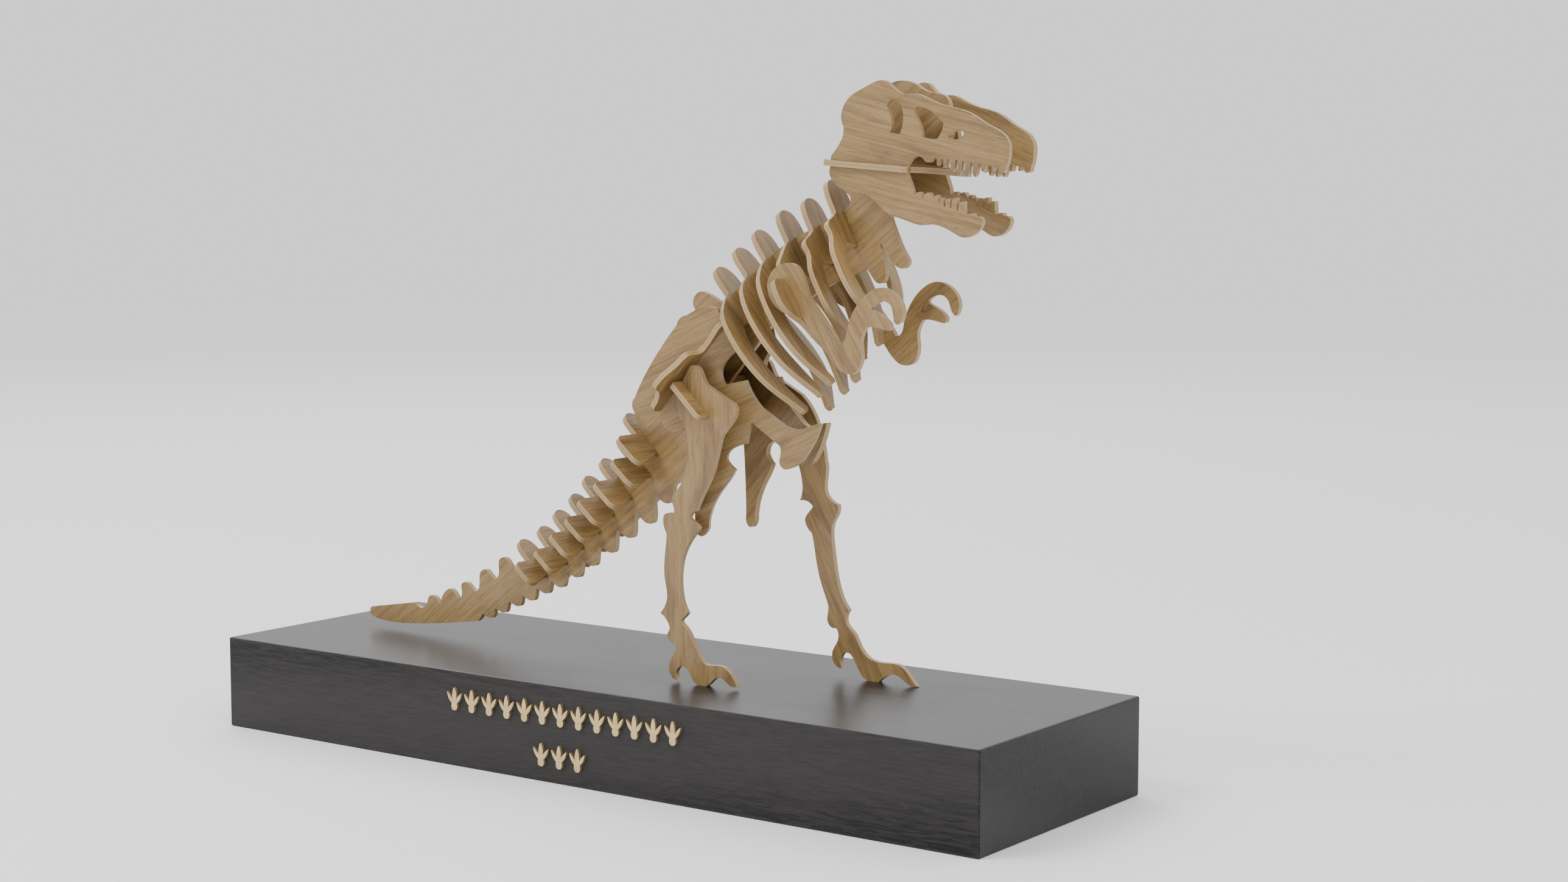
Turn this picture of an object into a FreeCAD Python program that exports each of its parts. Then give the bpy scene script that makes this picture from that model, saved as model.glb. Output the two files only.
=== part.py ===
import FreeCAD, Part
import math
import os
from FreeCAD import Placement, Rotation, Vector

# A plywood dinosaur skeleton that stands on a dark wooden plinth.  Every bone is a
# flat plate cut from sheet, and the plates are pushed together with open slots.
# Millimetres.  X runs along the plinth towards the head, Y to the animal's left,
# Z up.  The origin is the middle of the underside of the plinth.

doc = FreeCAD.newDocument("jigsaw_model")

# --- Driving sizes -----------------------------------------------------------

SIZES = {
    "ply_thickness": 3.0,
    "slot_gap": 0.1,
    "plinth_length": 510.0,
    "plinth_width": 157.0,
    "plinth_height": 52.2,
    "plinth_edge_radius": 1.2,
    "tenon_length": 9.0,
    "leg_offset": 31.0,
    "arm_offset": 26.5,
    "track_thickness": 1.6,
    "track_pitch": 12.5,
}

sheet = doc.addObject("Spreadsheet::Sheet", "Sizes")
for row, (alias, value) in enumerate(SIZES.items(), start=1):
    sheet.set("A%d" % row, alias)
    sheet.set("B%d" % row, str(value))
    sheet.setAlias("B%d" % row, alias)
doc.recompute()

SLOT = SIZES["ply_thickness"] + 2 * SIZES["slot_gap"]
GAP = SIZES["slot_gap"]
PLINTH_TOP = SIZES["plinth_height"]


# --- Frames ------------------------------------------------------------------

def side_frame(x, y, toe=0.0):
    """Frame of an upright plate: local X runs forward, local Y runs up."""
    turn = Rotation(Vector(0, 0, 1), toe) * Rotation(Vector(1, 0, 0), 90)
    return Placement(Vector(x, y, 0), turn)


def cross_frame(x, z, rise):
    """Frame of a plate across the body: local X is world Y, local Y climbs at rise."""
    c = math.cos(math.radians(rise))
    s = math.sin(math.radians(rise))
    turn = Rotation(Vector(0, 1, 0), Vector(c, 0, s), Vector(s, 0, -c), "ZXY")
    return Placement(Vector(x, 0, z), turn)


# --- Outlines ----------------------------------------------------------------

def line(*points):
    """Straight edges through the points, from wherever the outline has got to."""
    return ("line", list(points))


def curve(*points):
    """One smooth edge through the points, from wherever the outline has got to."""
    return ("curve", list(points))


def mirrored(start, half):
    """Close a half outline, given from bottom to top, with its mirror image."""
    ends = [start] + [points[-1] for kind, points in half]
    back = []
    for (kind, points), begin in zip(reversed(half), reversed(ends[:-1])):
        path = [begin] + points[:-1]
        back.append((kind, [(-x, y) for x, y in reversed(path)]))
    crown = (half[-1][0], half[-1][1] + back[0][1])
    return half[:-1] + [crown] + back[1:]


def trace(sketch, runs):
    """Draw a closed outline in a sketch."""
    here = Vector(*runs[-1][1][-1], 0)
    for kind, points in runs:
        stops = [Vector(x, y, 0) for x, y in points]
        if kind == "line":
            for stop in stops:
                sketch.addGeometry(Part.LineSegment(here, stop))
                here = stop
        else:
            spline = Part.BSplineCurve()
            spline.interpolate([here] + stops)
            sketch.addGeometry(spline)
            here = stops[-1]


# --- Solids ------------------------------------------------------------------

def body_sketch(body, name):
    """A sketch on the body's own XY plane."""
    sketch = body.newObject("Sketcher::SketchObject", name)
    plane = [f for f in body.Origin.OriginFeatures if f.Role == "XY_Plane"][0]
    sketch.AttachmentSupport = (plane, [""])
    sketch.MapMode = "FlatFace"
    return sketch


def plate(name, frame, outline, windows=()):
    """A plate of plywood centred on its frame's XY plane."""
    body = doc.addObject("PartDesign::Body", name + "_blank")
    sketch = body_sketch(body, name + "_outline")
    trace(sketch, outline)
    for window in windows:
        trace(sketch, window)
    pad = body.newObject("PartDesign::Pad", name + "_sheet")
    pad.Profile = sketch
    pad.Midplane = True
    pad.setExpression("Length", "Sizes.ply_thickness")
    body.Tip = pad
    body.Placement = frame
    return body


def slot(frame, x, y, z):
    """A box to cut away, in a frame.  Each extent is (low, high), or the middle of a
    stretch one slot wide."""
    box = doc.addObject("Part::Box", "Slot")
    corner = []
    for side, extent in zip(("Length", "Width", "Height"), (x, y, z)):
        if isinstance(extent, tuple):
            setattr(box, side, extent[1] - extent[0])
            corner.append(extent[0])
        else:
            box.setExpression(side, "Sizes.ply_thickness + 2 * Sizes.slot_gap")
            corner.append(extent - SLOT / 2)
    box.Placement = frame.multiply(Placement(Vector(*corner), Rotation()))
    return box


NODES = []


def finish(name, body, cutters):
    """Cut the slots from a blank and list the result as one piece of the model."""
    tool = doc.addObject("Part::Compound", name + "_slots")
    tool.Links = cutters
    piece = doc.addObject("Part::Cut", name)
    piece.Base = body
    piece.Tool = tool
    piece.Label = name
    NODES.append(piece)
    return piece


# --- Where the cross plates sit ----------------------------------------------

# Each rib: tip of its dorsal tongue (x, z), backward slope, length, half width.
RIBS = [
    (114.8, 315.6, 63.0, 81.0, 24.4),
    (100.4, 306.0, 62.0, 84.0, 24.4),
    (84.5, 299.6, 59.5, 88.0, 27.0),
    (68.5, 289.3, 54.0, 95.0, 30.6),
    (55.8, 279.7, 50.0, 96.0, 29.5),
    (43.0, 269.3, 48.0, 97.0, 31.2),
]
RIB_FRAMES = [cross_frame(x, z, 180 - slope) for x, z, slope, length, width in RIBS]
RIB_SEAT = -31.0
ARM_RIB = 2
ARM_SEAT = {"right": -47.0, "left": -45.5}

# Each tail plate: tip of its dorsal tongue.  All lean back by the same slope.
TAIL_TIPS = [
    (-20.0, 188.3),
    (-24.4, 175.5),
    (-37.4, 162.4),
    (-49.6, 151.9),
    (-59.4, 141.2),
    (-71.2, 131.2),
    (-83.0, 121.2),
    (-98.0, 112.5),
]
TAIL_SLOPE = 43.0
TAIL_SEAT = -22.0
TAIL_FRAMES = [cross_frame(x, z, 180 - TAIL_SLOPE) for x, z in TAIL_TIPS]

SPINE = side_frame(0, 0)
SADDLE = cross_frame(52.4, 230.1, 52.5)
HIP_BAR = cross_frame(51.5, 202.0, 180 - 43.0)
PALATE = cross_frame(128.5, 324.8, -4.8)
PALATE_SEAT = 12.0
SKULL_SEAT = 24.0
SADDLE_SEAT = -13.0
PELVIS = {"right": side_frame(35, -26.1, 16.6), "left": side_frame(35, 26.1, -16.6)}
SKULL = {"right": side_frame(159, -19.5, 6.3), "left": side_frame(159, 19.5, -6.3)}
LEG = {"right": side_frame(0, -SIZES["leg_offset"]), "left": side_frame(0, SIZES["leg_offset"])}
ARM = {"right": side_frame(0.5, -SIZES["arm_offset"]), "left": side_frame(0.5, SIZES["arm_offset"])}
for side, frame in ARM.items():
    # An arm moves up with its seat on the rib.
    rise = Vector(0, ARM_SEAT[side] - ARM_SEAT["right"], 0)
    frame.move(RIB_FRAMES[ARM_RIB].Rotation.multVec(rise))
SIGN = {"right": -1, "left": 1}

# --- Spine: tail, back, neck and the middle of the skull in one plate --------


def tail_bump(left, top, right):
    """A dorsal bump of the tail, steep behind and sloping in front."""
    return curve(
        (left[0] + 1.5, (left[1] + top[1]) / 2),
        (top[0] - 3.5, top[1] - 1.6),
        top,
        (top[0] + 3.5, top[1] - 2.2),
        right,
    )


def chevron(bottom, left):
    """A tooth under the tail, steep in front and sloping behind."""
    x, z = bottom
    return [
        curve((x + 4.3, z + 3.5), (x + 3.0, z + 0.6), (x, z), (x - 3.5, z + 1.2), left),
    ]


tail_top = [
    line((-180, 69.5)),
    curve((-177.5, 67.2), (-174.5, 66.8), (-171.5, 69)),
    tail_bump((-171.5, 69), (-166, 75), (-160, 70)),
    tail_bump((-160, 70), (-152, 80.2), (-146, 74.8)),
    tail_bump((-144.5, 75.5), (-139.5, 85.2), (-131.5, 80.5)),
    tail_bump((-130.5, 81), (-124.5, 94), (-117, 89)),
    tail_bump((-115.5, 89.5), (-110, 102.2), (-104, 97)),
]
hip_top = [
    curve((-96, 99.5), (-85, 104.5), (-71, 113), (-59, 123), (-47.5, 133), (-37.5, 143.6),
          (-25, 154.6), (-15.5, 167), (-8, 181)),
    curve((-13, 188), (-14.3, 194), (-11.5, 198.5), (-4, 201)),
    curve((1, 209), (8, 222), (17, 236)),
    curve((16.3, 240), (19.5, 243.2), (25.5, 243.5)),
    line((28.5, 247.5)),
    curve((27.2, 252.5), (31, 256.7), (37.5, 255.8), (46, 251.5)),
]
back_top = [
    curve((54.4, 257.2), (66.7, 267), (78.5, 276.5), (93.1, 286), (108.4, 292.5), (119, 299)),
    curve((127, 302.5), (128.6, 306.5), (126, 309.6), (122.5, 312)),
    curve((124, 320), (128, 330), (134, 339), (137, 348), (144, 358), (153, 364.2),
          (160, 365.3), (167.6, 363.3), (173.5, 360), (179, 358.9), (184.5, 357.3), (187.7, 352.5)),
]
head_front = [
    curve((189.5, 345), (187, 334), (178, 327.5), (168, 325.6), (156.5, 325.3)),
    line((156.5, 319)),
    curve((154.5, 308), (153, 297.5)),
    curve((157, 288), (161.5, 279.5), (163.8, 274.5), (161.5, 272), (157, 272.5), (152, 278), (146.5, 284)),
    curve((149.2, 276), (150.2, 268), (148.8, 264.6), (145.5, 264), (142, 267), (138.5, 271)),
]
back_under = [
    curve((133, 269), (119, 264), (107, 257.5), (95, 252), (85, 246), (72, 233), (61, 220.5),
          (51, 209), (42, 193), (33, 177), (24, 164), (16, 153)),
]
CHEVRONS = [
    ((8.2, 141.8), (0.5, 148)),
    ((-4.2, 129.8), (-11.8, 136.5)),
    ((-18.2, 120.8), (-26, 124.5)),
    ((-31.5, 111.5), (-39, 114.5)),
    ((-45, 103), (-51, 106.5)),
    ((-56.5, 95.5), (-62.5, 98)),
    ((-68.5, 88.8), (-74.5, 92)),
    ((-79.5, 84.3), (-85.5, 86.5)),
    ((-90.5, 79.2), (-96.5, 81)),
    ((-101, 75), (-107, 76.5)),
    ((-112, 70.2), (-117.5, 71.6)),
    ((-122, 66.2), (-127, 68)),
]
tail_under = []
for bottom, left in CHEVRONS:
    tail_under += chevron(bottom, left)
tail_tip = [
    curve((-129, 65), (-131.5, 63.2)),
    curve((-150, 60.5), (-180, 57), (-203, 56.2), (-213, 57.6), (-217, 60), (-217, 62.3), (-214.5, 63.8)),
]

spine = plate("spine", SPINE, tail_top + hip_top + back_top + head_front + back_under + tail_under + tail_tip)
spine_slots = [slot(frame, (-4, 4), (RIB_SEAT - GAP, -8), 0) for frame in RIB_FRAMES]
spine_slots += [slot(frame, (-4, 4), (TAIL_SEAT - GAP, -4), 0) for frame in TAIL_FRAMES]
spine_slots.append(slot(SADDLE, (-4, 4), (-43 - GAP, 15.5 + GAP), 0))
spine_slots.append(slot(HIP_BAR, (-4, 4), (-8, 12.5 + GAP), 0))
spine_slots.append(slot(PALATE, (-4, 4), (PALATE_SEAT - GAP, 34), 0))
finish("spine", spine, spine_slots)

# --- Ribs --------------------------------------------------------------------


def rib_outline(length, half_width, carries_arms):
    """Dorsal tongue above, two curved arms below that close in towards their tips.
    The rib that carries the arms grows a flat-topped shoulder outside each of them."""
    wide = half_width / 31.6
    tall = (length - 17.5) / 79.3

    def low(u, v):
        return (u * wide, -17.5 + (v + 17.5) * tall)

    if carries_arms:
        flank = [
            curve((18.5, -79), (23.5, -72), (28.6, -64), (33.8, -59.9), (37.2, -56), (38.8, -50.5),
                  (38.2, -45.5), (36.9, -41.2), (34.4, -39.4)),
            line((28.3, -39.4), (25.8, -32.2)),
            curve((24.2, -29.8), (20, -26.4), (14, -21.5), (8.4, -18)),
        ]
    else:
        flank = [
            curve(low(21.4, -86.5), low(27.4, -77.5), low(31, -66), low(31.6, -54), low(29.6, -42),
                  low(25.2, -31.6), (20, -26.4), (14, -21.5), (8.4, -18)),
        ]
    return mirrored((0, -36), [
        curve((7, -36.6), low(14.2, -39.6), low(17.8, -45), low(20.4, -54), low(20.2, -63),
              low(18.4, -71), low(15.4, -80), low(11.2, -90.5), low(9.6, -94)),
        curve(low(10.4, -96.3), low(12.6, -97), low(14.6, -95)),
        *flank,
        curve((8.3, -13), (7.6, -6.5), (5, -1.7), (0, 0)),
    ])


for number, (frame, (x, z, slope, length, half_width)) in enumerate(zip(RIB_FRAMES, RIBS), start=1):
    name = "rib_%d" % number
    cutters = [slot(frame, 0, (-52, RIB_SEAT + GAP), (-4, 4))]
    if number == ARM_RIB + 1:
        for side, seat in ARM_SEAT.items():
            cutters.append(slot(frame, SIGN[side] * SIZES["arm_offset"], (seat - GAP, -20), (-4, 4)))
    outline = rib_outline(length, half_width, number == ARM_RIB + 1)
    finish(name, plate(name, frame, outline), cutters)

# --- Tail plates -------------------------------------------------------------


def tail_outline(size):
    """A narrow tongue above two square wings."""
    def wing(u, v):
        return (u * size, -15 + (v + 15) * size)

    return mirrored(wing(0, -29), [
        curve(wing(5, -30.6), wing(10.5, -32.7), wing(16, -34.4)),
        curve(wing(20.6, -34.4), wing(23.2, -30.8)),
        line(wing(24, -20)),
        curve(wing(23.2, -16.6), wing(20.4, -15)),
        line((6.8, -15)),
        curve((6.6, -9), (5.7, -4), (3.4, -1), (0, 0)),
    ])


for number, frame in enumerate(TAIL_FRAMES, start=1):
    name = "tail_plate_%d" % number
    size = 1.0 - 0.03 * (number - 1)
    finish(name, plate(name, frame, tail_outline(size)), [slot(frame, 0, (-40, TAIL_SEAT + GAP), (-4, 4))])

# --- Hip: a sloping saddle plate, a cross bar and two splayed pelvis plates --

saddle_outline = mirrored((0, -42), [
    line((34, -43)),
    curve((37, -41), (37.4, -37)),
    curve((39, -33), (41, -30), (44.2, -27.8)),
    curve((47, -25.5), (46.6, -22), (44, -17), (40, -12), (38, -8), (36, -5)),
    curve((31, -4.4), (26.5, -4), (24, -1)),
    line((23.5, 3), (23.5, 12)),
    curve((22, 15), (18, 15.5)),
    line((0, 15.5)),
])
saddle = plate("saddle", SADDLE, saddle_outline)
seat_height = 230.1 + SADDLE_SEAT * math.sin(math.radians(52.5))
saddle_slots = [slot(frame, (-40, 40), (180, seat_height + 1.2), 0) for frame in PELVIS.values()]
finish("saddle", saddle, saddle_slots)

hip_bar_outline = mirrored((0, -12.5), [
    line((37.5, -12.5)),
    curve((39.8, -11.5), (40.5, -9)),
    line((40.5, 11)),
    curve((40, 12.2), (38.5, 12.5)),
    line((0, 12.5)),
])
hip_bar = plate("hip_bar", HIP_BAR, hip_bar_outline)
bar_slots = [slot(HIP_BAR, SIGN[side] * SIZES["leg_offset"], (-14, GAP), (-4, 4)) for side in SIGN]
finish("hip_bar", hip_bar, bar_slots)

pelvis_outline = [
    curve((17, 250.3), (11, 248.3), (5, 244.5), (0.5, 240)),
    curve((-6, 231.5), (-13, 221), (-18.5, 211.5), (-23, 202)),
    curve((-24.6, 199), (-24, 195), (-21, 191.7), (-15, 192.8), (-9.5, 193.2)),
    curve((-8.2, 190), (-5.5, 186), (-1.5, 184), (2, 184.7), (5, 186)),
    curve((8, 178), (9.5, 165), (10.5, 150), (10.8, 135)),
    curve((12, 130.7), (14.5, 129.6), (17, 131.2), (18.6, 136)),
    curve((20, 143), (25, 153), (31, 161), (33.5, 165.4)),
    curve((30.5, 168), (28.8, 170.8), (29.5, 174), (33, 177), (40, 179.3)),
    curve((40.8, 184), (42.5, 190.6)),
    line((56, 180.2)),
    curve((58, 178.5), (58.4, 175), (57.9, 169.5), (60, 166.9), (64, 167.2), (68.5, 169.5), (73.5, 175.5),
          (78.5, 184.5), (80.8, 191)),
    curve((74.5, 189.6), (68, 187.6), (62, 188.8), (55, 193.4), (48, 198.6), (42.5, 206), (39.5, 212.5)),
    line((28, 210)),
    curve((26, 213.6), (26, 218), (28.6, 222.6), (33.5, 227.3)),
    curve((33.4, 233), (29.2, 241.5), (23.2, 249.4)),
]
for side, frame in PELVIS.items():
    name = "pelvis_" + side
    cutters = [
        slot(SADDLE, (-50, 50), (SADDLE_SEAT - GAP, 25), 0),
        slot(HIP_BAR, (-50, 50), (-12.5 - GAP, 12.5 + GAP), 0),
    ]
    finish(name, plate(name, frame, pelvis_outline), cutters)

# --- Legs --------------------------------------------------------------------

leg_outline = {
    "right": [
        curve((47, 216.5), (50.5, 220.3), (54, 219.3), (57, 214.5), (60, 210.3)),
        line((75.5, 202.3)),
        curve((78.6, 199), (78, 195), (73, 188.5), (68.5, 182)),
        curve((66, 173), (63, 164), (58, 155), (54.5, 148.5), (52.5, 144)),
        curve((49.5, 142.5), (48.3, 140.6), (50.8, 138.3), (54.2, 134.8)),
        curve((50, 129.8), (46, 124), (42.5, 114), (42, 103), (44, 94), (46.4, 89.8)),
        curve((44.6, 87.4), (42.4, 85), (45, 82.2), (49.5, 76), (53.5, 69), (58, 63.8)),
        curve((63, 63.6), (70, 63.6), (75, 60.2), (79, 54.4)),
        curve((75, 54), (69, 57.5), (65.5, 57.2), (61.5, 54), (59, PLINTH_TOP)),
        line((54, PLINTH_TOP)),
        curve((50, 54.5), (47.5, 58.7), (44, 61), (40.4, 60), (38.8, 57), (40.3, 53.8)),
        curve((37, 54), (34.7, 57), (34.3, 61), (36.5, 65.5), (39, 69.5), (38, 72.6)),
        curve((34.2, 74.2), (33, 76.5), (34.6, 80), (33.3, 84), (28.5, 88)),
        curve((31.4, 91.8), (33, 96), (31.8, 106), (31.5, 117), (32.6, 126), (33, 131)),
        curve((30.8, 136), (31, 139.8), (37.2, 141)),
        curve((38, 144), (36.6, 149), (41, 155.5), (45.5, 163.5), (47.6, 175), (46, 187)),
        curve((42.5, 192), (39, 196.5), (38, 202), (41, 208), (44.5, 212.5)),
    ],
    "left": [
        curve((47, 216.5), (50.5, 220.3), (54, 219.3), (57, 214.5), (60, 210.3)),
        line((75.5, 202.3)),
        curve((83, 194), (88.5, 182), (91.5, 167)),
        curve((91.6, 158), (92, 150), (94.5, 147), (99.6, 144.6)),
        curve((99.4, 140), (96.2, 134), (95.6, 127), (97, 116), (98.5, 107), (101, 98), (104, 92), (107, 88.6)),
        curve((105.2, 86), (105.2, 81.5), (109.5, 77.2), (113, 71.5), (117, 66.2), (122.5, 63.4)),
        curve((131, 62.9), (140, 62.2), (145, 58), (150, 52.6)),
        curve((146, 52.6), (141.5, 55), (137, 57.2), (131, 56), (126, PLINTH_TOP)),
        line((119, PLINTH_TOP)),
        curve((115, 55), (110.8, 61.5), (106.5, 65.8), (102.8, 64.6), (101.4, 60.5), (103, 57.4)),
        curve((99, 57.8), (96.2, 62), (96.8, 66.7), (99.4, 71), (100, 76), (98.6, 78.3)),
        curve((94.8, 79), (93, 82), (93.6, 88), (92, 94), (89, 101.5), (86, 112), (84.2, 122), (82.6, 128.4)),
        curve((79.2, 132), (78.4, 135.5), (81, 139.5), (83.4, 142.6)),
        curve((81, 144.6), (75, 145.2)),
        curve((76.6, 152), (75.4, 160), (72.5, 168), (66, 177), (55, 184.5)),
        curve((45, 190), (39, 196.5), (38, 202), (41, 208), (44.5, 212.5)),
    ],
}
TENON = {"right": (54.5, 58.5), "left": (119.5, 125.5)}

plinth_slots = []
for side, frame in LEG.items():
    low, high = TENON[side]
    name = "leg_" + side
    blank = plate(name, frame, leg_outline[side])
    tenon = doc.addObject("Part::Box", name + "_tenon")
    tenon.Length = high - low
    tenon.setExpression("Width", "Sizes.tenon_length + 6")
    tenon.setExpression("Height", "Sizes.ply_thickness")
    foot = Vector(low, PLINTH_TOP - SIZES["tenon_length"], -SIZES["ply_thickness"] / 2)
    tenon.Placement = frame.multiply(Placement(foot, Rotation()))
    joined = doc.addObject("Part::Fuse", name + "_with_tenon")
    joined.Base = blank
    joined.Tool = tenon
    finish(name, joined, [slot(HIP_BAR, (-50, 50), (-GAP, 13), 0)])
    floor = PLINTH_TOP - SIZES["tenon_length"] - 0.3
    plinth_slots.append(slot(frame, (low - GAP, high + GAP), (floor, PLINTH_TOP + 5), 0))

# --- Arms --------------------------------------------------------------------

arm_outline = [
    curve((96.5, 268), (101, 272.3), (107, 274.2), (112, 273.4), (116.5, 268.5), (119, 262), (121.5, 256.5)),
    curve((127, 250), (133, 243), (138, 236.3)),
    curve((140, 234.4), (142.4, 235.8), (144, 240.5), (146, 247), (150, 254), (156.5, 260.2),
          (163, 263), (169, 262.2), (174.4, 258.6), (177.4, 253.5), (177.5, 249.5), (175.5, 246)),
    curve((173.2, 248), (171, 253.5), (167.5, 256.2), (163, 255.8), (158.5, 252.6)),
    curve((162.5, 250.5), (167, 248), (170.2, 244.6)),
    curve((169.2, 242.3), (165, 242.7), (160, 243.5), (156, 243.4)),
    curve((153.6, 240), (152.4, 235), (153, 230), (152.4, 225), (150, 221), (146, 219.5), (142, 220),
          (137, 223.6), (130, 232.5), (122, 241.5), (116, 246.8)),
    line((110, 247.3)),
    curve((104.5, 249.3), (99.5, 252.5), (96, 257.5), (95, 263)),
]
for side, frame in ARM.items():
    name = "arm_" + side
    grip = slot(RIB_FRAMES[ARM_RIB], (-45, 45), (-80, ARM_SEAT[side] + GAP), 0)
    finish(name, plate(name, frame, arm_outline), [grip])

# --- Head: palate and two toed-in side plates with both rows of teeth --------


def upper_tooth(front, back, tip, gum):
    """A blunt hanging tooth that narrows to its tip and leans back a little."""
    shoulder = tip + 0.3 * (gum - tip)
    return [
        line((front, gum), (front - 0.5, shoulder)),
        curve(((front + back) / 2 - 0.4, tip), (back - 0.1, shoulder)),
        line((back, gum)),
    ]


def lower_tooth(back, crown, front):
    """A standing tooth with a sloping back and a steep front."""
    return [
        line(back),
        curve((crown[0] - 1.2, crown[1]), crown),
        line(front),
    ]


UPPER_TEETH = [
    (68.8, 64.7, 319.4, 322.3),
    (62.8, 61.0, 320.2, 322.7),
    (57.9, 55.3, 320.0, 323.2),
    (53.8, 50.9, 317.4, 323.8),
    (49.4, 46.6, 317.4, 324.5),
    (45.1, 42.8, 318.0, 325.2),
    (41.5, 39.0, 319.6, 325.8),
    (36.9, 35.0, 321.8, 326.0),
    (33.4, 31.5, 322.8, 325.8),
]
LOWER_TEETH = [
    ((19.6, 308.8), (23.0, 310.1), (23.4, 307.3)),
    ((23.9, 307.4), (27.8, 309.8), (29.6, 307.1)),
    ((30.1, 307.1), (32.6, 308.5), (32.8, 305.0)),
    ((33.2, 304.8), (35.2, 307.2), (35.4, 303.1)),
    ((36.1, 303.0), (39.0, 306.9), (38.9, 302.4)),
    ((39.4, 302.4), (42.8, 307.3), (42.4, 301.1)),
    ((42.9, 300.9), (46.6, 305.5), (46.8, 299.3)),
    ((47.6, 298.7), (51.6, 299.8), (52.4, 298.0)),
]
skull_outline = [
    curve((-23.5, 332.5), (-20.6, 338), (-20.3, 342.5)),
    curve((-21.6, 347), (-20.5, 352), (-16, 357.6), (-9, 361.3), (-3, 364), (1, 364.9), (4.5, 363.8)),
    curve((8, 360.6), (11.5, 358.4), (16, 358.1)),
    curve((20, 358), (27, 355.2), (35, 352.2), (45, 349.8), (51, 347.3), (58, 343), (64, 340),
          (68, 337), (70, 333.5), (70.3, 328), (69.5, 324)),
]
for upper in UPPER_TEETH:
    skull_outline += upper_tooth(*upper)
skull_outline += [
    curve((30.2, 326.8), (28.6, 325.1), (26.9, 324.5), (25, 325)),
    curve((23, 327), (20.2, 327.4), (17.6, 325.8), (14.6, 321)),
    curve((16.4, 316.5), (18, 312.5), (18.8, 309.4)),
]
for lower in LOWER_TEETH:
    skull_outline += lower_tooth(*lower)
skull_outline += [
    curve((53.6, 298.3), (55.2, 298)),
    curve((56.5, 296.2), (56, 293.8), (53.5, 290.6), (50, 288.6), (45.5, 288.2), (40.5, 290.4), (35, 293),
          (30, 294.2), (23, 293.9), (14, 296.4), (7.5, 298.1)),
    curve((2, 301.6), (-3, 306), (-8, 308.9), (-14, 310.2), (-21, 311.6)),
    curve((-25.5, 314.6), (-28, 318.6), (-27.8, 322)),
    line((-27.2, 328)),
]
jaw_slit = [
    curve((11.5, 353), (13, 348), (12.6, 342.5), (11, 338.2)),
    line((5.6, 339.2)),
    curve((6.7, 344), (5.6, 348.5), (3.8, 352.4)),
    curve((6, 354.8), (9, 355)),
]
eye_socket = [
    curve((31, 347.2), (35, 343.6)),
    curve((34.2, 340), (31.6, 336)),
    curve((27.5, 335.9), (23.4, 336.8)),
    curve((22.6, 341.5), (19.4, 347.6)),
    curve((19.3, 350.2), (27, 350.2)),
]
nostril = [
    curve((43.4, 339.6), (39.8, 339), (37.4, 336.6), (39.6, 335.6), (43.2, 336)),
    curve((45.8, 338.2), (45.4, 339.6)),
]
for side, frame in SKULL.items():
    name = "skull_" + side
    blank = plate(name, frame, skull_outline, [jaw_slit, eye_socket, nostril])
    finish(name, blank, [slot(PALATE, (-35, 35), (-5, SKULL_SEAT + GAP), 0)])

palate_outline = mirrored((0, 0), [
    line((24.5, 0)),
    curve((26.4, 0.9), (26.9, 3.2)),
    line((21.8, 44)),
    curve((20, 46), (14, 46.5), (8.5, 48.5), (6, 53)),
    line((5.2, 65)),
    curve((3.7, 69.2), (0, 70.5)),
])
palate_slots = [slot(PALATE, 0, (-3, PALATE_SEAT + GAP), (-4, 4))]
skull_seat_u = 128.5 + SKULL_SEAT - 159
for frame in SKULL.values():
    palate_slots.append(slot(frame, (skull_seat_u - 0.4, 40), (300, 340), 0))
finish("palate", plate("palate", PALATE, palate_outline), palate_slots)

# --- Plinth ------------------------------------------------------------------

plinth_body = doc.addObject("PartDesign::Body", "plinth_blank")
block = plinth_body.newObject("PartDesign::AdditiveBox", "plinth_block")
block.setExpression("Length", "Sizes.plinth_length")
block.setExpression("Width", "Sizes.plinth_width")
block.setExpression("Height", "Sizes.plinth_height")
corner = Vector(-SIZES["plinth_length"] / 2, -SIZES["plinth_width"] / 2, 0)
block.Placement = Placement(corner, Rotation())
doc.recompute()
rounding = plinth_body.newObject("PartDesign::Fillet", "plinth_rounding")
rounding.Base = (block, ["Edge%d" % n for n in range(1, len(block.Shape.Edges) + 1)])
rounding.setExpression("Radius", "Sizes.plinth_edge_radius")
plinth_body.Tip = rounding
doc.recompute()
finish("plinth", plinth_body, plinth_slots)

# --- Raised three-toed tracks in two rows on the front of the plinth ---------

TRACK = [
    curve((1.5, -3.9), (2.1, -2.2), (1.8, -0.6)),
    curve((3.4, 0.9), (4.7, 3.2), (5.2, 5.4)),
    curve((3.6, 4.2), (2.2, 2.8), (1.2, 1.6)),
    curve((1.5, 3.6), (1.1, 6), (0, 8)),
]


def track(x, z):
    """One footprint, toes up, with its sole centred at (x, z)."""
    outline = mirrored((0, -4.4), TRACK)
    return [(kind, [(u + x, v + z) for u, v in points]) for kind, points in outline]


tracks = doc.addObject("Sketcher::SketchObject", "tracks_outline")
tracks.Placement = side_frame(0, -SIZES["plinth_width"] / 2)
for step in range(-6, 7):
    trace(tracks, track(-1 + step * SIZES["track_pitch"], 35.5))
for step in (-1, 0, 1):
    trace(tracks, track(-2 + step * SIZES["track_pitch"], 13))
relief = doc.addObject("Part::Extrusion", "front_tracks")
relief.Base = tracks
relief.DirMode = "Normal"
relief.Solid = True
relief.setExpression("LengthFwd", "Sizes.track_thickness")
relief.Label = "front_tracks"
NODES.append(relief)
doc.recompute()

# --- Check and export --------------------------------------------------------

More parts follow.
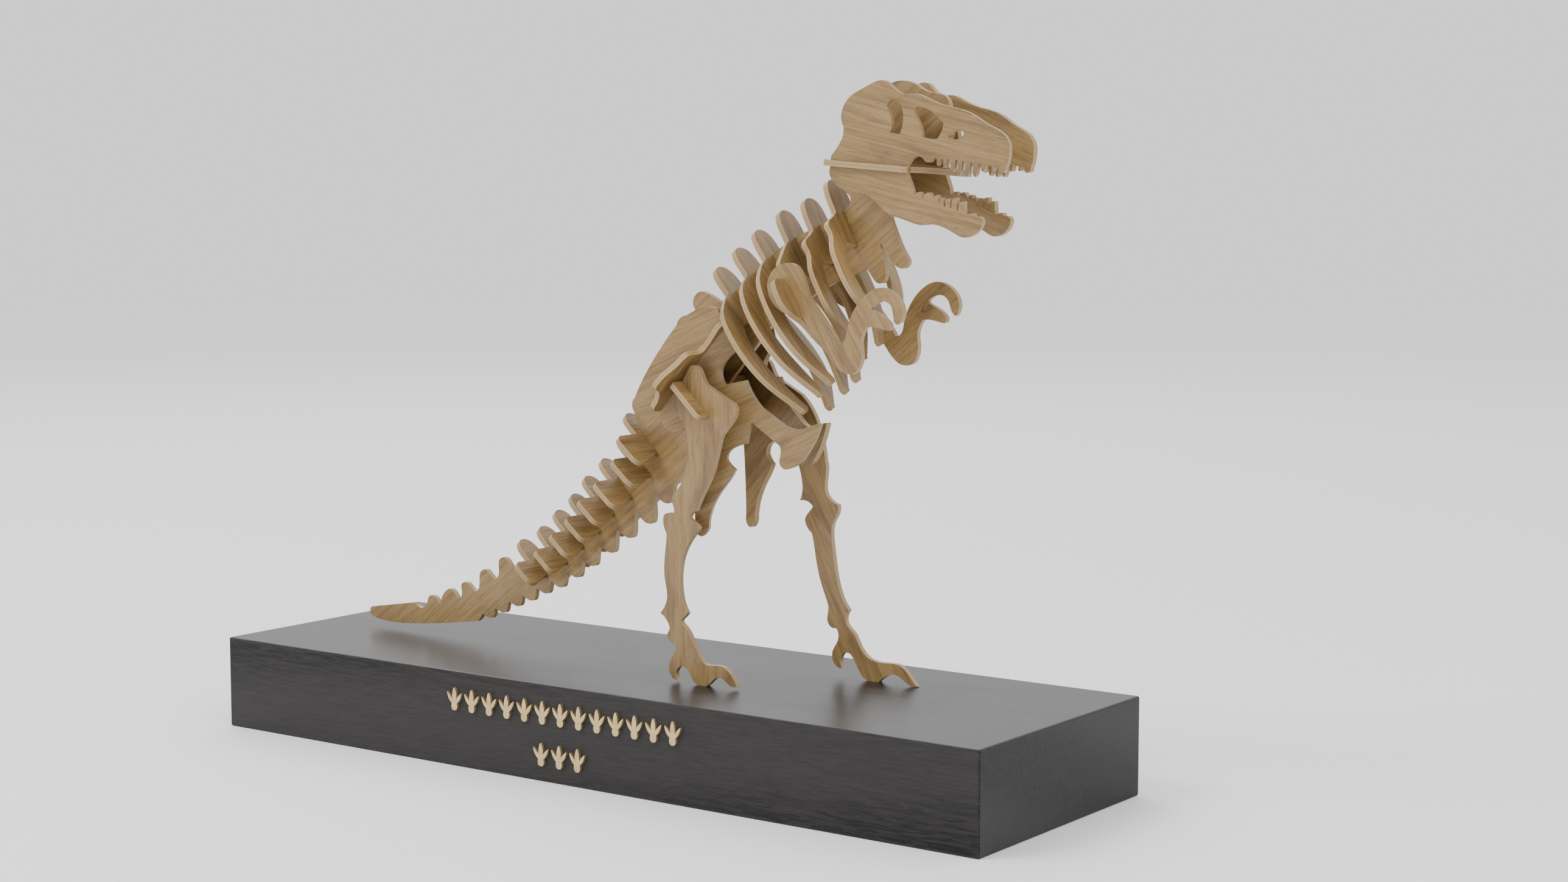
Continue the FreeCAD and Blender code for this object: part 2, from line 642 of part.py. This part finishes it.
for piece in doc.Objects:
    if "Invalid" in piece.State or "Error" in piece.State:
        raise RuntimeError("%s did not build: %s" % (piece.Name, piece.State))
for piece in NODES:
    if piece.Shape.isNull() or not piece.Shape.isValid():
        raise RuntimeError("%s has a bad shape" % piece.Label)
    print("%-16s %2d solid  %9.1f mm3" % (piece.Label, len(piece.Shape.Solids), piece.Shape.Volume))

os.makedirs("parts", exist_ok=True)
for piece in NODES:
    piece.Shape.exportStep("parts/%s.step" % piece.Label)
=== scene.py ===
import math

import bpy
from mathutils import Matrix, Vector

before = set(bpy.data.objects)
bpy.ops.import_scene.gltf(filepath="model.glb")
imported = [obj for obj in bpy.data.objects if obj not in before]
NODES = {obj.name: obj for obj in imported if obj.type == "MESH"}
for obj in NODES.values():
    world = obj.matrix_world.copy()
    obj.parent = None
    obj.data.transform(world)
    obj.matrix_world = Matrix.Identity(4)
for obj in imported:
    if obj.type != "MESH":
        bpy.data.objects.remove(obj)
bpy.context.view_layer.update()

# A plywood dinosaur skeleton on a dark plinth.  Every plate of the model is a CAD
# node; this script gives each one softened edges and its own cut of wood grain,
# and adds the floor, the lights and the camera.  Metres, +X towards the head, +Z up.

MM = 0.001


# --- Building shader nodes -----------------------------------------------------

class Shader:
    """A material under construction: makes nodes and links sockets to values."""

    def __init__(self, name):
        self.material = bpy.data.materials.new(name)
        self.material.use_nodes = True
        self.tree = self.material.node_tree
        self.surface = self.tree.nodes["Principled BSDF"]

    def feed(self, socket, value):
        """Put a number, a colour or another node's output into a socket."""
        if isinstance(value, bpy.types.NodeSocket):
            self.tree.links.new(value, socket)
        else:
            socket.default_value = value

    def paint(self, values):
        """Feed the surface's own inputs, given by name."""
        for name, value in values.items():
            self.feed(self.surface.inputs[name], value)

    def node(self, kind, inputs=None, **settings):
        made = self.tree.nodes.new(kind)
        for key, value in settings.items():
            setattr(made, key, value)
        for key, value in (inputs or {}).items():
            self.feed(made.inputs[key], value)
        return made

    def math(self, operation, first, second=0.0):
        return self.node("ShaderNodeMath", {0: first, 1: second}, operation=operation).outputs[0]

    def weigh(self, first, share, second):
        """Sum of two values, where the first counts for its share and the second for the rest."""
        return self.math("ADD", self.math("MULTIPLY", first, share), self.math("MULTIPLY", second, 1 - share))

    def stretch(self, where, scale):
        return self.node("ShaderNodeMapping", {"Vector": where, "Scale": scale}).outputs[0]

    def noise(self, where, scale, detail, roughness, distortion=0.0):
        """Cloudy noise from 0 to 1, with its own number of lumps per millimetre along each axis."""
        inputs = {"Vector": self.stretch(where, scale), "Scale": 1.0, "Detail": detail,
                  "Roughness": roughness, "Distortion": distortion}
        return self.node("ShaderNodeTexNoise", inputs).outputs["Fac"]

    def remap(self, value, low, high, to_low=0.0, to_high=1.0):
        inputs = {"Value": value, "From Min": low, "From Max": high, "To Min": to_low, "To Max": to_high}
        return self.node("ShaderNodeMapRange", inputs, interpolation_type="SMOOTHSTEP").outputs[0]

    def mix(self, amount, first, second, kind="RGBA", blend="MIX"):
        inputs = {"Factor": amount, "A": first, "B": second}
        return self.node("ShaderNodeMix", inputs, data_type=kind, blend_type=blend).outputs["Result"]

    def bump(self, height, strength, distance):
        inputs = {"Height": height, "Strength": strength, "Distance": distance}
        return self.node("ShaderNodeBump", inputs).outputs[0]

    def facing(self):
        """Direction that the surface faces, in the object's own axes."""
        return self.node("ShaderNodeTexCoord").outputs["Normal"]

    def rise(self, vector):
        return self.node("ShaderNodeSeparateXYZ", {0: vector}).outputs["Z"]

    def object_millimetres(self, turn=Matrix.Identity(3), shift=(0, 0, 0)):
        """Object coordinates in millimetres, turned so that X lies along the grain."""
        place = self.node("ShaderNodeTexCoord").outputs["Object"]
        inputs = {"Vector": place, "Scale": (1 / MM,) * 3, "Rotation": turn.to_euler("XYZ"),
                  "Location": shift}
        return self.node("ShaderNodeMapping", inputs).outputs[0]


def colour(red, green, blue):
    """Linear colour from familiar 0-255 display values."""
    def linear(value):
        value /= 255
        return value / 12.92 if value <= 0.04045 else ((value + 0.055) / 1.055) ** 2.4
    return (linear(red), linear(green), linear(blue), 1.0)


# --- Plywood -------------------------------------------------------------------

VENEER_LIGHT = colour(148, 120, 74)
VENEER_MID = colour(121, 93, 51)
VENEER_DARK = colour(80, 57, 30)
KNOT_BROWN = colour(54, 34, 19)
EDGE_PALE = colour(160, 134, 92)
EDGE_CORE = colour(136, 110, 70)

# Noise figures: lumps per mm along the grain, across it and through the sheet, then
# detail, roughness and distortion.
VENEER_PATCHES = ((0.022, 0.075, 0.05), 3.0, 0.55, 0.6)
VENEER_RINGS = ((0.016, 0.34, 0.05), 5.0, 0.66, 1.1)
VENEER_LINES = ((0.035, 1.55, 0.08), 4.0, 0.62, 0.5)
VENEER_PORES = ((0.17, 3.4, 0.4), 2.0, 0.5)
EDGE_FLECKS = ((1.1, 1.1, 5.0), 3.0, 0.6)

KNOTS_PER_MM = (0.011, 0.026, 0.03)
KNOT_RINGS = 150.0
CORE_HALF_DEPTH = 0.55
CORE_BLUR = 0.1
VENEER_ROUGHNESS = (0.40, 0.60)
VENEER_COAT = 0.28
VENEER_COAT_ROUGHNESS = 0.18
VENEER_RELIEF = 0.12 * MM

# Plates lie at many angles, so the side that counts as the front is the one that
# faces more or less this way: towards the animal's left, slightly up and forwards.
FRONT_SIDE = Vector((0.31, 0.87, 0.38))


def plate_axes(node):
    """Normal of a flat plate and how far along it the middle of the sheet lies, in mm."""
    areas = {}
    for face in node.data.polygons:
        normal = face.normal if face.normal.dot(FRONT_SIDE) > 0 else -face.normal
        key = tuple(round(part, 2) for part in normal)
        area, total = areas.get(key, (0.0, Vector()))
        areas[key] = (area + face.area, total + normal * face.area)
    normal = max(areas.values(), key=lambda entry: entry[0])[1].normalized()
    heights = [normal.dot(corner.co) for corner in node.data.vertices]
    return normal, (min(heights) + max(heights)) / 2 / MM


def grain_frame(normal, direction):
    """Rotation from the model's axes to a plate's: X along the grain, Z through the sheet."""
    along = (direction - normal * direction.dot(normal)).normalized()
    return Matrix((along, normal.cross(along), normal))


def plywood(name, node, direction, cut, tone):
    """Flat-cut veneer on the faces and glued plies on the edges of one plate."""
    normal, middle = plate_axes(node)
    shader = Shader(name)
    where = shader.object_millimetres(grain_frame(normal, direction), (*cut, -middle))

    # Veneer: growth rings, soft patches, fine lines and short dark pores.
    patches = shader.noise(where, *VENEER_PATCHES)
    rings = shader.noise(where, *VENEER_RINGS)
    lines = shader.noise(where, *VENEER_LINES)
    pores = shader.noise(where, *VENEER_PORES)
    figure = shader.mix(shader.remap(rings, 0.36, 0.68), VENEER_LIGHT, VENEER_MID)
    figure = shader.mix(shader.remap(patches, 0.46, 0.74, 0.0, 0.55), figure, VENEER_DARK)
    figure = shader.mix(shader.remap(lines, 0.54, 0.74, 0.0, 0.38), figure, VENEER_DARK)
    figure = shader.mix(shader.remap(pores, 0.60, 0.72, 0.0, 0.60), figure, KNOT_BROWN)
    figure = shader.mix(shader.remap(patches, 0.26, 0.44, 0.45, 0.0), figure, VENEER_LIGHT)

    # A few small knots with darker rings round them.
    spots = {"Vector": shader.stretch(where, KNOTS_PER_MM), "Scale": 1.0}
    off_centre = shader.node("ShaderNodeTexVoronoi", spots, feature="F1").outputs["Distance"]
    knot = shader.remap(off_centre, 0.02, 0.13, 1.0, 0.0)
    ripple = shader.math("SINE", shader.math("MULTIPLY", off_centre, KNOT_RINGS))
    knot_depth = shader.math("MULTIPLY", knot, shader.remap(ripple, -1.0, 1.0, 0.25, 0.7))
    veneer = shader.mix(knot_depth, figure, KNOT_BROWN)

    # Edges: pale outer plies either side of a darker core, with end-grain flecks.
    depth = shader.math("ABSOLUTE", shader.rise(where))
    core = shader.remap(depth, CORE_HALF_DEPTH - CORE_BLUR, CORE_HALF_DEPTH + CORE_BLUR, 0.45, 0.0)
    flecks = shader.noise(where, *EDGE_FLECKS)
    edge = shader.mix(core, EDGE_PALE, EDGE_CORE)
    edge = shader.mix(shader.remap(flecks, 0.5, 0.72, 0.0, 0.45), edge, VENEER_DARK)

    # Which way this bit of surface faces: 1 on the flat faces, 0 on the cut edges.
    along_normal = shader.node("ShaderNodeVectorMath", {0: shader.facing(), 1: tuple(normal)},
                               operation="DOT_PRODUCT").outputs["Value"]
    flat = shader.remap(shader.math("ABSOLUTE", along_normal), 0.55, 0.92)
    whole = shader.mix(flat, edge, veneer)
    shader.paint({
        "Base Color": shader.mix(1.0, whole, (tone, tone, tone, 1.0), blend="MULTIPLY"),
        "Roughness": shader.remap(shader.math("ADD", pores, lines), 0.7, 1.3, *VENEER_ROUGHNESS),
        "Coat Weight": VENEER_COAT,
        "Coat Roughness": VENEER_COAT_ROUGHNESS,
        "Normal": shader.bump(shader.weigh(pores, 0.6, lines), 0.35, VENEER_RELIEF),
    })
    return shader.material


# --- Plinth and footprints -------------------------------------------------------

STAIN_DARK = colour(9, 9, 9)
STAIN_MID = colour(40, 38, 37)
STAIN_WORN = colour(52, 50, 50)
STAIN_BANDS = ((0.012, 0.10, 0.16), 4.0, 0.6, 0.8)
STAIN_LINES = ((0.042, 0.42, 0.62), 5.0, 0.68, 1.4)
STAIN_PORES = ((0.10, 1.9, 1.9), 2.0, 0.5)
SIDE_ROUGHNESS = (0.44, 0.58)
TOP_ROUGHNESS = (0.295, 0.305)
TOP_RELIEF_SHARE = 0.06
STAIN_SPECULAR = 0.24
STAIN_RELIEF = 0.35 * MM

GOLD = colour(208, 186, 138)
GOLD_DEEP = colour(160, 132, 84)
GOLD_BRUSHING = ((0.5, 6.0, 6.0), 3.0, 0.6)
GOLD_CLOUDS = ((0.25, 0.25, 0.25), 3.0, 0.55)
GOLD_ROUGHNESS = (0.30, 0.46)
GOLD_METALLIC = 0.85
GOLD_RELIEF = 0.05 * MM


def stained_wood():
    """Charcoal stained wood with the grain along X, satin on the top face."""
    shader = Shader("stained_wood")
    where = shader.object_millimetres()
    bands = shader.noise(where, *STAIN_BANDS)
    lines = shader.noise(where, *STAIN_LINES)
    pores = shader.noise(where, *STAIN_PORES)

    tint = shader.mix(shader.remap(lines, 0.40, 0.60), STAIN_DARK, STAIN_MID)
    tint = shader.mix(shader.remap(bands, 0.40, 0.75, 0.0, 0.25), tint, STAIN_DARK)
    tint = shader.mix(shader.remap(pores, 0.58, 0.72, 0.0, 0.5), tint, STAIN_DARK)
    wear = shader.node("ShaderNodeNewGeometry").outputs["Pointiness"]
    tint = shader.mix(shader.remap(wear, 0.53, 0.60, 0.0, 0.5), tint, STAIN_WORN)

    upward = shader.remap(shader.rise(shader.facing()), 0.6, 0.95)
    side_gloss = shader.remap(lines, 0.3, 0.7, *SIDE_ROUGHNESS)
    top_gloss = shader.remap(bands, 0.3, 0.7, *TOP_ROUGHNESS)
    calm = shader.remap(upward, 0.0, 1.0, 1.0, TOP_RELIEF_SHARE)
    relief = shader.math("MULTIPLY", shader.weigh(lines, 0.6, pores), calm)
    shader.paint({
        "Base Color": tint,
        "Roughness": shader.mix(upward, side_gloss, top_gloss, kind="FLOAT"),
        "Specular IOR Level": STAIN_SPECULAR,
        "Normal": shader.bump(relief, 0.8, STAIN_RELIEF),
    })
    return shader.material


def gilt_metal():
    """Pale satin gold, a little darker where it is brushed."""
    shader = Shader("gilt_metal")
    where = shader.object_millimetres()
    brushed = shader.noise(where, *GOLD_BRUSHING)
    clouds = shader.noise(where, *GOLD_CLOUDS)
    shader.paint({
        "Base Color": shader.mix(shader.remap(clouds, 0.35, 0.7, 0.0, 0.4), GOLD, GOLD_DEEP),
        "Metallic": GOLD_METALLIC,
        "Roughness": shader.remap(brushed, 0.3, 0.7, *GOLD_ROUGHNESS),
        "Normal": shader.bump(brushed, 0.25, GOLD_RELIEF),
    })
    return shader.material


# --- Edges ---------------------------------------------------------------------

PLATE_ROUNDING = 0.45 * MM
PLINTH_ROUNDING = 0.5 * MM
TRACK_ROUNDING = 0.35 * MM
FLAT_ANGLE = math.radians(0.6)
SHARP_ANGLE = math.radians(35)


def soften(node, width, segments=2):
    """Merge flat facets, then round the sharp rims, and shade the curves smoothly."""
    for face in node.data.polygons:
        face.use_smooth = True
    merge = node.modifiers.new("merge_flats", "DECIMATE")
    merge.decimate_type = "DISSOLVE"
    merge.angle_limit = FLAT_ANGLE
    rim = node.modifiers.new("rounded_rims", "BEVEL")
    rim.width = width
    rim.segments = segments
    rim.limit_method = "ANGLE"
    rim.angle_limit = SHARP_ANGLE
    rim.harden_normals = True
    rim.use_clamp_overlap = True


def dress(node, material):
    """Give a CAD node its one finished material."""
    node.data.materials.clear()
    node.data.materials.append(material)


# --- The plates ------------------------------------------------------------------

def side_grain(rise):
    """Grain direction on an upright plate, rising forwards by an angle in degrees."""
    return Vector((math.cos(math.radians(rise)), 0, math.sin(math.radians(rise))))


CROSS_GRAIN = Vector((0, 1, 0))
RIB_GRAIN = side_grain(125)
GRAIN = {
    "spine": side_grain(38),
    "saddle": side_grain(52),
    "hip_bar": CROSS_GRAIN,
    "pelvis_right": side_grain(24),
    "pelvis_left": side_grain(40),
    "leg_right": side_grain(91),
    "leg_left": side_grain(118),
    "arm_right": side_grain(-58),
    "arm_left": side_grain(38),
    "skull_right": side_grain(-13),
    "skull_left": side_grain(-22),
    "palate": Vector((1, 0, 0)),
}

# Each plate is cut from another part of the sheet, this many mm further along and across.
CUT_STEP = (137.0, 61.0)
TONES = (1.0, 0.94, 1.03, 0.97, 0.91, 1.01)


def dress_plates():
    plates = sorted(name for name in NODES if name not in ("plinth", "front_tracks"))
    for order, name in enumerate(plates):
        node = NODES[name]
        direction = GRAIN.get(name, RIB_GRAIN if name.startswith("rib") else CROSS_GRAIN)
        cut = tuple(step * order for step in CUT_STEP)
        material = plywood("plywood_" + name, node, direction, cut, TONES[order % len(TONES)])
        soften(node, PLATE_ROUNDING)
        dress(node, material)


# --- Stage -----------------------------------------------------------------------

FLOOR_RADIUS = 7.0
FLOOR_SOLID = 1.6
FLOOR_GONE = FLOOR_RADIUS * 0.9
FLOOR_WHITE = colour(238, 237, 238)
FLOOR_ROUGHNESS = 0.7
FLOOR_SPECULAR = 0.25


def build_stage():
    """A round pale floor that fades out into the studio's own grey, with no horizon."""
    bpy.ops.mesh.primitive_circle_add(vertices=96, radius=FLOOR_RADIUS, fill_type="NGON")
    floor = bpy.context.object
    floor.name = "floor"
    shader = Shader("pale_floor")
    where = shader.node("ShaderNodeTexCoord").outputs["Object"]
    distance = shader.node("ShaderNodeVectorMath", {0: where}, operation="LENGTH").outputs["Value"]
    shader.paint({
        "Base Color": FLOOR_WHITE,
        "Roughness": FLOOR_ROUGHNESS,
        "Specular IOR Level": FLOOR_SPECULAR,
        "Alpha": shader.remap(distance, FLOOR_SOLID, FLOOR_GONE, 1.0, 0.0),
    })
    floor.data.materials.append(shader.material)


# --- Light -----------------------------------------------------------------------

STUDIO_GREY = (1.0, 0.995, 1.0, 1.0)
HORIZON_GREY = 1.2
ZENITH_GREY = 1.5
GRADIENT = (0.12, 0.85)

# Name, place, width and height, watts, tint.
LAMPS = (
    ("key", (-0.9, -1.3, 1.9), (1.0, 1.0), 34, (1.0, 0.985, 0.96)),
    ("fill", (1.9, -0.6, 1.2), (1.4, 1.2), 14, (1.0, 1.0, 1.0)),
    ("rim", (-1.7, 1.5, 1.9), (1.8, 1.0), 18, (1.0, 1.0, 1.0)),
)
LAMP_AIM = Vector((0.02, 0.0, 0.16))


def build_world():
    """Even studio light: one grey all round the horizon, brighter overhead."""
    world = bpy.data.worlds.new("studio")
    world.use_nodes = True
    tree = world.node_tree
    backdrop = tree.nodes["Background"]
    where = tree.nodes.new("ShaderNodeTexCoord")
    split = tree.nodes.new("ShaderNodeSeparateXYZ")
    grade = tree.nodes.new("ShaderNodeMapRange")
    grade.interpolation_type = "SMOOTHSTEP"
    grade.inputs["From Min"].default_value, grade.inputs["From Max"].default_value = GRADIENT
    grade.inputs["To Min"].default_value = HORIZON_GREY
    grade.inputs["To Max"].default_value = ZENITH_GREY
    backdrop.inputs["Color"].default_value = STUDIO_GREY
    tree.links.new(where.outputs["Generated"], split.inputs[0])
    tree.links.new(split.outputs["Z"], grade.inputs["Value"])
    tree.links.new(grade.outputs[0], backdrop.inputs["Strength"])
    bpy.context.scene.world = world


def area_light(name, place, size, power, tint):
    lamp = bpy.data.lights.new(name, "AREA")
    lamp.shape = "RECTANGLE"
    lamp.size, lamp.size_y = size
    lamp.energy = power
    lamp.color = tint
    holder = bpy.data.objects.new(name, lamp)
    holder.location = place
    holder.rotation_euler = (LAMP_AIM - Vector(place)).to_track_quat("-Z", "Y").to_euler()
    bpy.context.scene.collection.objects.link(holder)


# --- Camera ----------------------------------------------------------------------

CAMERA_PLACE = (0.872335, -1.086840, 0.315740)
CAMERA_AZIMUTH = math.radians(35.893)
CAMERA_ELEVATION = math.radians(5.768)
CAMERA_LENS = 59.234
SENSOR_WIDTH = 36.0
SIGHT_LIMIT = 200


def build_camera():
    """Three-quarter view from the animal's front right, a little above the plinth."""
    lens = bpy.data.cameras.new("camera")
    lens.lens = CAMERA_LENS
    lens.sensor_width = SENSOR_WIDTH
    lens.clip_end = SIGHT_LIMIT
    camera = bpy.data.objects.new("camera", lens)
    camera.location = CAMERA_PLACE
    camera.rotation_euler = (math.radians(90) - CAMERA_ELEVATION, 0, CAMERA_AZIMUTH)
    bpy.context.scene.collection.objects.link(camera)
    bpy.context.scene.camera = camera


# --- The whole scene ---------------------------------------------------------------

dress_plates()
soften(NODES["plinth"], PLINTH_ROUNDING, 3)
dress(NODES["plinth"], stained_wood())
soften(NODES["front_tracks"], TRACK_ROUNDING)
dress(NODES["front_tracks"], gilt_metal())

build_stage()
build_world()
for lamp in LAMPS:
    area_light(*lamp)
build_camera()
